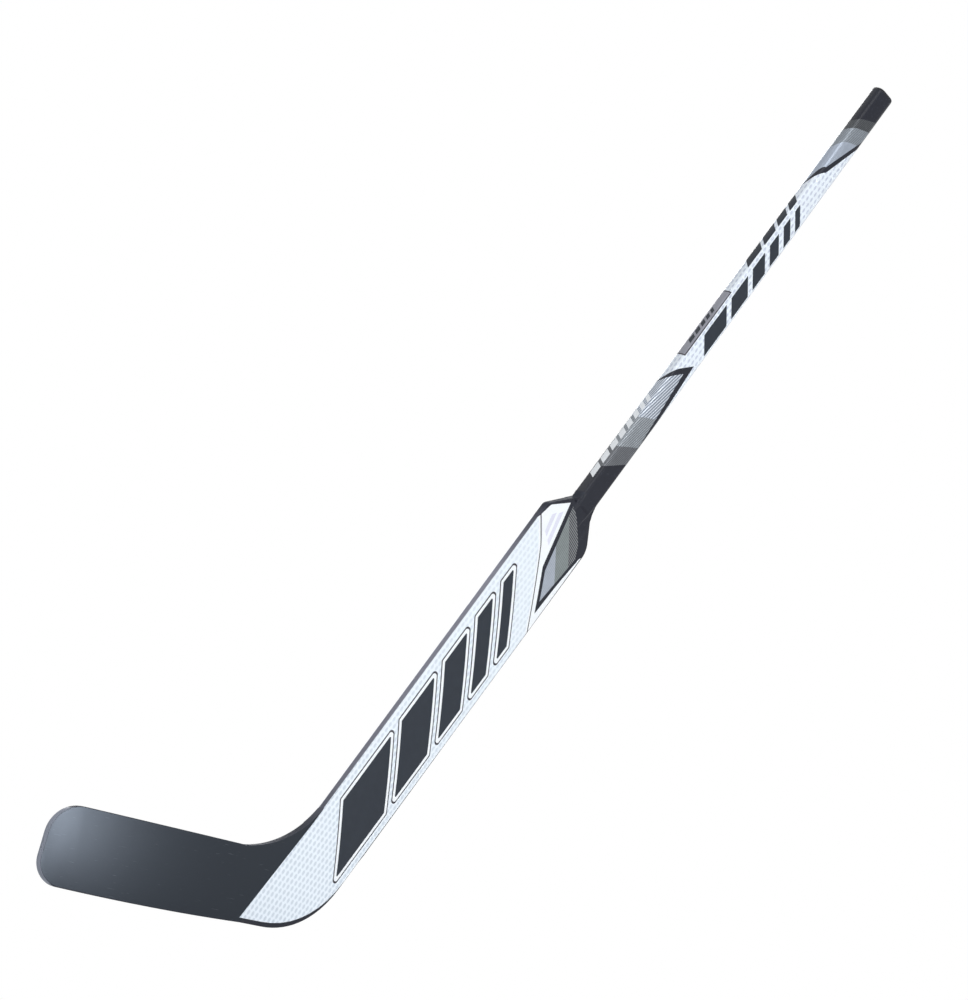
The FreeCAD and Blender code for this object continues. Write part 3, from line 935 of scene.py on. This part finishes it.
    def build_plug(self) -> None:
        """Builds the end plug, a glued shank and a head with a domed end."""
        inside = self.wall + self.glue_gap
        shoulder = self.high.x
        sections = [self.section(self.plug_low, inside), self.section(shoulder, inside),
                    self.section(shoulder, self.plug_step)]
        for ring in range(self.plug_rings + 1):
            turn = math.pi / 2 * ring / self.plug_rings
            rise = self.plug_high - self.plug_dome * (1 - math.sin(turn))
            sections.append(self.section(rise, self.plug_step + self.plug_dome * (1 - math.cos(turn))))
        finish_piece(loft(sections, capped=True), "butt_end_plug_moulding", PLUG, Slot.PLUG, "butt_end_plug")

    def build_butt(self) -> None:
        """Builds the grey bands under the black butt end."""
        bottoms = (*self.butt_bands[1:], self.butt_edges[0])
        edges = [(edge, True) for edge in self.butt_edges]
        for name, finish, top, bottom in zip(
                ("dark", "mid", "light"), (BUTT_DARK, BUTT_MID, BUTT_LIGHT), self.butt_bands, bottoms):
            self.wrap(f"butt_{name}_grey_film", finish, [(top, False), (bottom, True), *edges])

    def build_middle(self) -> None:
        """Builds the white wrap with its side panel and slanted bars."""
        front_top, side_top = self.white_tops
        for name, cuts in (("film", [(front_top, False), (self.white_bottom, True)]),
                           ("corner", [(front_top, True), (side_top, False)]),
                           ("sliver", [(self.white_bottom, False), (self.white_right, False)])):
            self.wrap(f"shaft_white_{name}", SHAFT_HONEYCOMB, cuts, slot=Slot.WHITE)
        panel = (("line", OUTLINE, self.side_panel_line), ("panel", PANEL_GREY, 0.0))
        for layer, (name, finish, grown) in enumerate(panel, 2):
            self.wrap(f"shaft_side_{name}", finish, [
                (Plane(self.side_panel_low - grown), True), (Plane(self.side_panel_high + grown), False),
                (Plane.square_to(1, self.high.y - self.side_panel_depth), True),
                (Plane.square_to(2, self.side_panel_out + grown), False)], layer)
        for name, row, flat, layer in (
                ("side_dash", self.side_panel_dashes, Flat.UPPER, 4),
                ("upper_bar", self.upper_bars, Flat.UPPER, 2),
                ("front_bar", self.face_bars, Flat.FRONT, 2),
                ("back_bar", self.face_bars, Flat.BACK, 2)):
            self.build_row(name, CHARCOAL, row, flat, layer)

    def build_row(self, name: str, finish: Finish, row: FadingRow, flat: Flat, layer: int) -> None:
        """Prints a row of bars on one flat side.

        Args:
            name: start of the pieces' names.
            finish: finish of the bars.
            row: places of the bars.
            flat: side of the shaft.
            layer: how many films deep the bars lie.
        """
        out_v, out_w = flat.value
        half = self.high.y if out_v else self.high.z
        over_v, over_w = abs(out_w), abs(out_v)
        fence = [(Plane(half - self.row_depth, out_v, out_w, 0.0), True),
                 (Plane(row.reach, over_v, over_w, 0.0), False),
                 (Plane(-row.reach, over_v, over_w, 0.0), True)]
        for number, ends in enumerate(row.spans(), 1):
            low, high = (Plane(end, row.slope * over_v, row.slope * over_w) for end in ends)
            self.wrap(f"shaft_{name}_{number}", finish, [*fence, (low, True), (high, False)], layer)

    def build_lower_panel(self) -> None:
        """Builds the grey pinstriped panel inside the black lower end."""
        tops = (self.panel_top, *self.panel_bands[:-1])
        for name, finish, top, bottom in zip(
                ("light", "mid", "dark"), (LIGHT_GREY, MID_GREY, DARK_GREY), tops, self.panel_bands):
            cuts = [(self.panel_top, False), (top, False), (bottom, True), (self.panel_right, True)]
            self.wrap(f"lower_{name}_grey_film", finish, cuts)
        self.build_row("grip_dash", PLAIN_WHITE, self.grip_dashes, Flat.UPPER, 2)


@dataclass
class Blade:
    """Skins and edge strips of the blade."""

    rim: Rim = field(default_factory=lambda: Rim(0.9, -485.0))

    def skin(self, side: Side) -> BMesh:
        """Makes one skin with a rounded rim.

        Args:
            side: face of the stick that the skin lies on.

        Returns:
            The skin in the stick's axes.
        """
        skin = node_mesh(f"blade_{side.word}_skin")
        self.rim.round_off(skin, side)
        return skin

    def build(self) -> None:
        """Builds the blade's skins and strips."""
        # The narrow sides at the toe's end, on the skins and on the toe block, get the painted sheen
        for side in Side:
            finish_piece(self.skin(side), f"blade_{side.word}_laminate", BLADE_LACQUER, Slot.BLACK,
                         f"blade_{side.word}_skin", rim=EDGE, toe=TOE_PAINTED_SHEEN)
        strips = {"blade_top_strip": EDGE, "blade_sole_strip": EDGE, "blade_toe_block": TOE_PAINTED_SHEEN}
        for node, finish in strips.items():
            finish_piece(node_mesh(node), f"{node}_edge", finish, Slot.EDGE, node)


@dataclass
class Face:
    """One face of the stick, which films are laid on."""

    side: Side
    skins: Sequence[BMesh]
    rim_radius: float
    half_width: float
    base_depth: float = 0.1
    layer_step: float = 0.06
    # Films are cut along a grid, and along close lines where they bend over the rounded rims
    grid_u: float = 3.0
    grid_v: float = 2.5
    rim_lines: int = 5
    rim_turn: float = math.radians(18)
    # Height that rays start from to find the skins
    ray_start: float = 100.0
    surfaces: list[BVHTree] = field(init=False)

    def __post_init__(self) -> None:
        """Readies the skins for laying films on them."""
        self.surfaces = [BVHTree.FromBMesh(skin) for skin in self.skins]

    def film(self, name: str, finish: Finish, corners: Sequence[Corner], layer: int = 1,
             slot: Slot | None = None, rows: Sequence[float] = ()) -> None:
        """Lays a film of some outline on the face.

        Args:
            name: the piece's name without the face.
            finish: the film's finish.
            corners: the film's outline.
            layer: how many films deep it lies.
            slot: material slot of the record.
            rows: widths of strips inside the outline, which let the film bend over a curved rim.
        """
        mesh = bmesh.new()
        outline = mesh.faces.new([mesh.verts.new((*point, 0.0)) for point in rounded(corners)])
        outline.normal_update()
        for width in rows:
            bmesh.ops.inset_region(mesh, faces=[outline], thickness=width, use_boundary=True,
                                   use_even_offset=True)
        bmesh.ops.triangulate(mesh, faces=mesh.faces[:])
        for plane in self.cuts(mesh):
            plane.cut(mesh)
        layer_map = mesh.loops.layers.uv.new(PRINT_MAP)
        for loop in (loop for face in mesh.faces for loop in face.loops):
            loop[layer_map].uv = loop.vert.co.xy * MM
        depth = self.base_depth + self.layer_step * layer
        for vertex in mesh.verts:
            vertex.co = self.surface_at(vertex.co) + self.side.out * depth
        bmesh.ops.recalc_face_normals(mesh, faces=mesh.faces[:])
        if mesh.faces[:][0].normal.dot(self.side.out) < 0:
            bmesh.ops.reverse_faces(mesh, faces=mesh.faces[:])
        bmesh.ops.solidify(mesh, geom=mesh.faces[:], thickness=depth)
        finish_piece(mesh, f"paddle_{self.side.word}_{name}", finish, slot)

    def cuts(self, mesh: BMesh) -> list[Plane]:
        """Gives the cuts that let a flat film bend.

        Args:
            mesh: film in the plane of the face.

        Returns:
            The cuts of the grid and over the rims.
        """
        cuts = []
        for axis, step in enumerate((self.grid_u, self.grid_v)):
            reach = [vertex.co[axis] for vertex in mesh.verts]
            lines = range(math.ceil(min(reach) / step), math.ceil(max(reach) / step))
            cuts += [Plane.square_to(axis, step * number) for number in lines]
        for line in range(self.rim_lines):
            place = self.half_width - self.rim_radius * (1 - math.sin(self.rim_turn * line))
            cuts += [Plane.square_to(1, place), Plane.square_to(1, -place)]
        return cuts

    def surface_at(self, place: Vector) -> Vector:
        """Finds the outermost point of the skins over some place.

        Args:
            place: place on the face.

        Returns:
            The point.
        """
        out = self.side.out
        start = Vector((*place.xy, 0.0)) + out * self.ray_start
        hits = [tree.ray_cast(start, -out)[0] for tree in self.surfaces]
        return max((hit for hit in hits if hit), key=out.dot)


@dataclass
class Paddle:
    """Skins, edges and films of the paddle."""

    blade: Blade
    rim: Rim = field(default_factory=lambda: Rim(1.3, -16.0))
    half_width: float = field(default_factory=lambda: node_reach("paddle_front_skin")[1].y)
    seam_end: float = field(default_factory=lambda: node_reach("paddle_front_skin")[0].x)

    # Zone in which the fairing is blended into the face
    fairing_low: float = -86.0
    fairing_high: float = -1.5
    fairing_reach: float = 27.0
    fairing_step: float = 3.0
    fairing_slack: float = 0.1
    # Least outward share of the normals there, and how often the zone is smoothed
    fairing_turn: float = 0.6
    fairing_rounds: int = 10

    # The films reach round the upper rim and leave a thin dark line along the lower one
    upper_margin: float = 0.012
    lower_margin: float = 1.25
    sole_margin: float = 5.0
    heel_radius: float = 118.0
    # From here down the honeycomb widens over the seam to the blade, by the overlap at the sole
    seam_film_top: float = -480.0
    seam_overlap: float = 4.8
    # Strips along the honeycomb's outline, which bend with the rim
    rim_rows: tuple[float, ...] = (0.15, 0.2, 0.3, 0.4, 0.6)

    # Line between the honeycomb and the shoulder: both ends, its bend and half its width
    divider_ends: tuple[float, float] = (-152.3, -53.0)
    divider_bend: Corner = Corner(-77.0, 16.0, 60.0)
    divider_half: float = 1.0
    # The two white films meet this far up the stick from it
    films_meet: float = -4.5

    # Plain white panel of the shoulder: both ends with their margins inside the films' edges, and the
    # corners between them
    shoulder_ends: tuple[tuple[float, float], ...] = ((-50.5, 0.6), (-48.0, 1.7))
    shoulder_corners: tuple[Corner, ...] = (
        Corner(-53.0, -35.6), Corner(-92.0, -32.1, 200.0), Corner(-133.1, -30.6), Corner(-91.5, -2.0, 5.0),
        Corner(-19.6, 17.4), Corner(-37.6, 35.2, 4.0))

    # Grey wedge: its tip, its rounded edge, the two cuts that part its greys, and its foot
    wedge_tip: Corner = Corner(-20.4, 12.2)
    wedge_edge: tuple[Corner, ...] = (
        Corner(-25.4, 1.5), Corner(-37.9, -15.4, 30.0), Corner(-44.2, -23.2, 20.0), Corner(-57.0, -31.4))
    wedge_cuts: tuple[tuple[Corner, Corner], ...] = (
        (Corner(-30.8, 9.3), Corner(-69.4, -30.4)), (Corner(-64.7, -0.06), Corner(-93.6, -28.35)))
    wedge_foot: tuple[Corner, Corner] = (Corner(-119.4, -26.2), Corner(-92.0, -7.6, 5.0))

    # Pale stripes along the white panel's edge at the wedge: distance from it, width, and both ends
    tint_start: Vector = Vector((-19.6, 17.4))
    tint_along: Vector = Vector((-0.965, -0.26))
    tints: tuple[tuple[float, ...], ...] = ((4.0, 4.5, 12.0, 52.0), (11.5, 4.5, 17.0, 45.0))

    # Slanted bars, each in a white frame with a thin line round it
    bars: FadingRow = FadingRow(-470.0, 90.0, 0.68, 5, 20.0, 1.22, 26.0)
    bar_radius: float = 1.0
    bar_radius_growth: float = 0.6
    frame_gap: float = 3.0
    frame_line: float = 1.3

    @property
    def upper_edge(self) -> float:
        """Place of the films' edge that faces the blade."""
        return self.half_width - self.upper_margin

    @property
    def lower_edge(self) -> float:
        """Place of the films' edge that faces away from the blade."""
        return self.lower_margin - self.half_width

    def skin(self, side: Side) -> BMesh:
        """Makes one skin with a rounded rim and a soft fairing.

        Args:
            side: face of the stick that the skin lies on.

        Returns:
            The skin in the stick's axes.
        """
        skin = node_mesh(f"paddle_{side.word}_skin")
        self.rim.round_off(skin, side)
        self.soften_fairing(skin, side)
        return skin

    def soften_fairing(self, mesh: BMesh, side: Side) -> None:
        """Blends the fairing's creases into the face.

        Args:
            mesh: skin in the stick's axes.
            side: face that the skin lies on.
        """
        low, high, reach, slack = self.fairing_low, self.fairing_high, self.fairing_reach, self.fairing_slack

        def in_zone(place: Vector) -> bool:
            """Tells whether a place lies in the fairing's zone."""
            return low - slack < place.x < high + slack and abs(place.y) < reach + slack

        def is_outer(face: BMFace) -> bool:
            """Tells whether a face belongs to the skin's outside."""
            return face.normal.z * side.value > self.fairing_turn

        for axis, first, last in ((0, low, high), (1, -reach, reach)):
            for number in range(round((last - first) / self.fairing_step) + 1):
                faces = [face for face in mesh.faces
                         if is_outer(face) and max(vertex.co.x for vertex in face.verts) > low]
                edges = {edge for face in faces for edge in face.edges}
                verts = {vertex for face in faces for vertex in face.verts}
                plane = Plane.square_to(axis, first + self.fairing_step * number)
                plane.cut(mesh, geom=[*verts, *edges, *faces])
        soft = [vertex for vertex in mesh.verts if in_zone(vertex.co)
                and all(is_outer(face) for face in vertex.link_faces)
                and all(in_zone(edge.other_vert(vertex).co) for edge in vertex.link_edges)]
        for _ in range(self.fairing_rounds):
            bmesh.ops.smooth_vert(mesh, verts=soft, factor=0.5, use_axis_z=True)

    def divider(self, shift: float) -> list[Corner]:
        """Draws the line between the honeycomb and the shoulder.

        Args:
            shift: how far the line is moved up the stick.

        Returns:
            Its corners from the lower edge to the upper one.
        """
        low, high = self.divider_ends
        bend = self.divider_bend
        return [Corner(low + shift, self.lower_edge), Corner(bend.u + shift, bend.v, bend.radius),
                Corner(high + shift, self.upper_edge)]

    def honeycomb_outline(self) -> list[Corner]:
        """Draws the white film from below the divider down to the sole.

        Returns:
            The film's corners.
        """
        lie = math.atan2(STICK.col[0].z, STICK.col[0].x)
        # The sole is level, so along it u falls as v rises
        sole = (STICK @ Vector((self.seam_end, self.half_width, 0.0))).z / MM + self.sole_margin
        seam_v = self.half_width + self.seam_overlap
        heel_u, seam_u = ((sole - v * math.cos(lie)) / math.sin(lie) for v in (self.lower_edge, seam_v))
        return [Corner(self.seam_film_top, self.upper_edge), Corner(seam_u, seam_v),
                Corner(heel_u, self.lower_edge, self.heel_radius), *self.divider(self.films_meet)]

    def shoulder_outline(self) -> list[Corner]:
        """Draws the plain white panel between the honeycomb and the grey wedge."""
        (low, low_margin), (high, high_margin) = self.shoulder_ends
        return [*reversed(self.divider(self.films_meet)), Corner(low, self.lower_edge + low_margin),
                *self.shoulder_corners, Corner(high, self.upper_edge - high_margin)]

    def wedge_outlines(self) -> dict[str, tuple[Finish, list[Corner]]]:
        """Draws the three grey panels of the wedge, from the shoulder down."""
        (upper_cut, upper_end), (lower_cut, lower_end) = self.wedge_cuts
        return {"dark": (DARK_HATCH, [self.wedge_tip, *self.wedge_edge, upper_end, upper_cut]),
                "mid": (MID_HATCH, [upper_cut, upper_end, lower_end, lower_cut]),
                "light": (LIGHT_HATCH, [lower_cut, lower_end, *self.wedge_foot])}

    def tint_outlines(self) -> list[list[Corner]]:
        """Draws the pale stripes beside the wedge.

        Returns:
            The corners of each stripe.
        """
        aside = Vector((self.tint_along.y, -self.tint_along.x))
        outlines = []
        for inset, width, first, last in self.tints:
            inner = inset + width
            ends = ((first, inset), (last, inset), (last - width, inner), (first + width, inner))
            places = [self.tint_start + self.tint_along * far + aside * off for far, off in ends]
            outlines.append([Corner(place.x, place.y) for place in places])
        return outlines

    def bar_outline(self, low: float, high: float, grown: float) -> list[Corner]:
        """Draws a slanted bar, grown on all sides.

        Args:
            low: lower end at the middle of the face.
            high: upper end at the middle of the face.
            grown: growth on each side.

        Returns:
            The bar's corners.
        """
        slope, reach = self.bars.slope, self.bars.reach + grown
        slack = grown * math.hypot(1.0, slope)
        radius = self.bar_radius + grown * self.bar_radius_growth
        return [Corner(end + slope * v, v, radius) for end, v in (
            (low - slack, -reach), (high + slack, -reach), (high + slack, reach), (low - slack, reach))]

    def build(self) -> None:
        """Builds the skins, the edges and the films of both faces."""
        for side in Side:
            skins = [self.skin(side), self.blade.skin(side)]
            self.build_films(Face(side, skins, self.rim.radius, self.half_width))
            finish_piece(skins[0], f"paddle_{side.word}_laminate", SHAFT_LACQUER, Slot.WHITE,
                         f"paddle_{side.word}_skin", rim=EDGE)
            skins[1].free()
        for node in ("paddle_upper_rail", "paddle_lower_rail", "shoulder_block_upper", "shoulder_block_lower",
                     "heel_block"):
            finish_piece(node_mesh(node), f"{node}_edge", EDGE, Slot.EDGE, node)

    def build_films(self, face: Face) -> None:
        """Lays the films on one face.

        Args:
            face: face that gets the films.
        """
        face.film("honeycomb_film", HONEYCOMB, self.honeycomb_outline(), slot=Slot.WHITE, rows=self.rim_rows)
        face.film("shoulder_film", PLAIN_WHITE, self.shoulder_outline(), slot=Slot.WHITE)
        line = [*self.divider(self.divider_half), *reversed(self.divider(-self.divider_half))]
        face.film("divider_line", OUTLINE, line, 2)
        for tone, (finish, outline) in self.wedge_outlines().items():
            face.film(f"wedge_{tone}", finish, outline)
        for number, outline in enumerate(self.tint_outlines(), 1):
            face.film(f"tint_{number}", PALE_TINT, outline, 2)
        layers = (("line", OUTLINE, self.frame_gap + self.frame_line), ("frame", PLAIN_WHITE, self.frame_gap),
                  ("bar", CHARCOAL, 0.0))
        for number, (low, high) in enumerate(self.bars.spans(), 1):
            for layer, (word, finish, grown) in enumerate(layers, 2):
                face.film(f"{word}_{number}", finish, self.bar_outline(low, high, grown), layer)


@dataclass
class Core:
    """Pieces sealed inside the stick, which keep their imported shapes."""

    finishes: dict[str, Finish] = field(default_factory=lambda: {
        "shaft_foam": FOAM, "paddle_core_upper": FOAM, "paddle_core_lower": FOAM, "blade_core_upper": FOAM,
        "blade_core_lower": FOAM, "paddle_spine": WOOD, "heel_tongue": GLASS, "blade_rib": GLASS})

    def build(self) -> None:
        """Gives each inner piece its finish."""
        for node, finish in self.finishes.items():
            data = frame["nodes"][node].data
            data.materials.clear()
            data.materials.append(finish.material())
            LOG.info("%s: packed shape, %s", node, finish.name)


def sight(azimuth: float, elevation: float) -> Vector:
    """Gives the direction from the stick to a viewer, from degrees round from the front and up."""
    around, up = math.radians(azimuth), math.radians(elevation)
    return Vector((math.sin(around) * math.cos(up), -math.cos(around) * math.cos(up), math.sin(up)))


@dataclass(frozen=True)
class Lamp:
    """A square soft lamp."""

    name: str
    azimuth: float
    elevation: float
    distance: float
    size: float
    power: float
    aim: Vector = Vector((0.0, 0.0, 0.0))

    def hang(self) -> None:
        """Puts the lamp into the scene, facing its aim."""
        away = sight(self.azimuth, self.elevation)
        data = bpy.data.lights.new(self.name, "AREA")
        data.size = self.size
        data.energy = self.power
        turn = (-away).to_track_quat("-Z", "Y").to_matrix().to_4x4()
        add_object(self.name, data).matrix_world = Matrix.Translation(self.aim + away * self.distance) @ turn


@dataclass
class Studio:
    """Camera, floor and soft light."""

    azimuth: float = -40.5
    roll: float = math.radians(11.17)
    picture_height: float = 1.046
    target: Vector = Vector((-0.0793, 0.0678, -0.0224))
    camera_distance: float = 4.0
    floor_size: float = 8.0
    floor_colour: str = "#F4F4F4"
    floor_roughness: float = 0.9
    floor_glow: float = 0.7
    # The floor turns to the surroundings' white between these distances from the stick
    floor_fade: tuple[float, float] = (0.9, 2.6)
    sky: float = 0.25
    lamps: tuple[Lamp, ...] = (
        # Mirrored by the corner between the shaft's front and its upper side
        Lamp("key", -42.0, 43.6, 3.5, 1.6, 29.0),
        # The toe turns toward this lamp and shows its sheen
        Lamp("front", 7.5, 6.0, 3.2, 1.0, 55.0, Vector((-0.55, 0.02, -0.46))),
        Lamp("side", -115.0, 35.0, 3.5, 1.4, 30.0),
        Lamp("back", 150.0, 20.0, 3.5, 1.6, 45.0))

    def build(self) -> None:
        """Builds the camera, the floor, the surroundings and the lamps."""
        self.build_camera()
        self.build_floor()
        self.build_sky()
        for lamp in self.lamps:
            lamp.hang()

    def build_camera(self) -> None:
        """Sets the camera at the photograph's viewing angle."""
        back = sight(self.azimuth, 0.0)
        up = Vector((0.0, 0.0, 1.0))
        right = up.cross(back) * math.cos(self.roll) + up * math.sin(self.roll)
        turn = Matrix((right, back.cross(right), back)).transposed().to_4x4()
        data = bpy.data.cameras.new("camera")
        data.type = "ORTHO"
        data.ortho_scale = self.picture_height
        camera = add_object("camera", data)
        camera.matrix_world = Matrix.Translation(self.target + back * self.camera_distance) @ turn
        bpy.context.scene.camera = camera

    def build_floor(self) -> None:
        """Lays a pale floor under the sole, which shows near white and keeps the shadow."""
        mesh = bmesh.new()
        bmesh.ops.create_grid(mesh, x_segments=1, y_segments=1, size=self.floor_size / 2,
                              matrix=Matrix.Translation((0.0, 0.0, CAD_BOX[0].z)))
        data = bpy.data.meshes.new("floor")
        mesh.to_mesh(data)
        mesh.free()
        data.materials.append(self.floor_paper())
        floor = add_object("floor", data)

    def floor_paper(self) -> Material:
        """Makes the floor's paper, which glows where it is seen so that it turns to white.

        Returns:
            The material.
        """
        material = bpy.data.materials.new("pale floor paper")
        material.use_nodes = True
        tree = material.node_tree
        paper = tree.nodes["Principled BSDF"]
        feed(tree, paper, {"Base Color": linear(self.floor_colour), "Roughness": self.floor_roughness})
        glow = add_node(tree, "Emission", (PURE_WHITE, 1.0))
        place = add_node(tree, "TexCoord").outputs["Object"]
        away = add_node(tree, "VectorMath", [place], operation="LENGTH").outputs["Value"]
        share = add_node(tree, "MapRange", (away, *self.floor_fade, self.floor_glow, 1.0),
                         interpolation_type="SMOOTHSTEP")
        seen = add_node(tree, "Math", (self.seen_directly(tree), share), operation="MULTIPLY")
        mixed = add_node(tree, "MixShader", (seen, paper, glow))
        feed(tree, tree.nodes["Material Output"], {"Surface": mixed})
        return material

    @staticmethod
    def seen_directly(tree: NodeTree) -> Node:
        """Tells what the camera, a gloss or a clear piece shows.

        Args:
            tree: node tree of the floor or the surroundings.

        Returns:
            The node that gives 1 there, else 0.
        """
        path = add_node(tree, "LightPath").outputs
        gloss = add_node(tree, "Math", (path["Is Camera Ray"], path["Is Glossy Ray"]), operation="MAXIMUM")
        return add_node(tree, "Math", (gloss, path["Is Transmission Ray"]), operation="MAXIMUM")

    def build_sky(self) -> None:
        """Makes surroundings that show white and light the stick softly."""
        world = bpy.data.worlds.new("studio")
        bpy.context.scene.world = world
        world.use_nodes = True
        tree = world.node_tree
        level = add_node(tree, "MapRange", (self.seen_directly(tree), 0.0, 1.0, self.sky, 1.0))
        feed(tree, tree.nodes["Background"], {"Strength": level, "Color": PURE_WHITE})


def main() -> None:
    """Builds the stick's looks and the studio."""
    logging.basicConfig(level=logging.INFO, format="%(message)s")
    bpy.context.scene.view_settings.view_transform = "Standard"
    blade = Blade()
    for part in (Shaft(), Paddle(blade), blade, Core(), Studio()):
        part.build()
    bpy.context.view_layer.update()


if __name__ == "__main__":
    main()
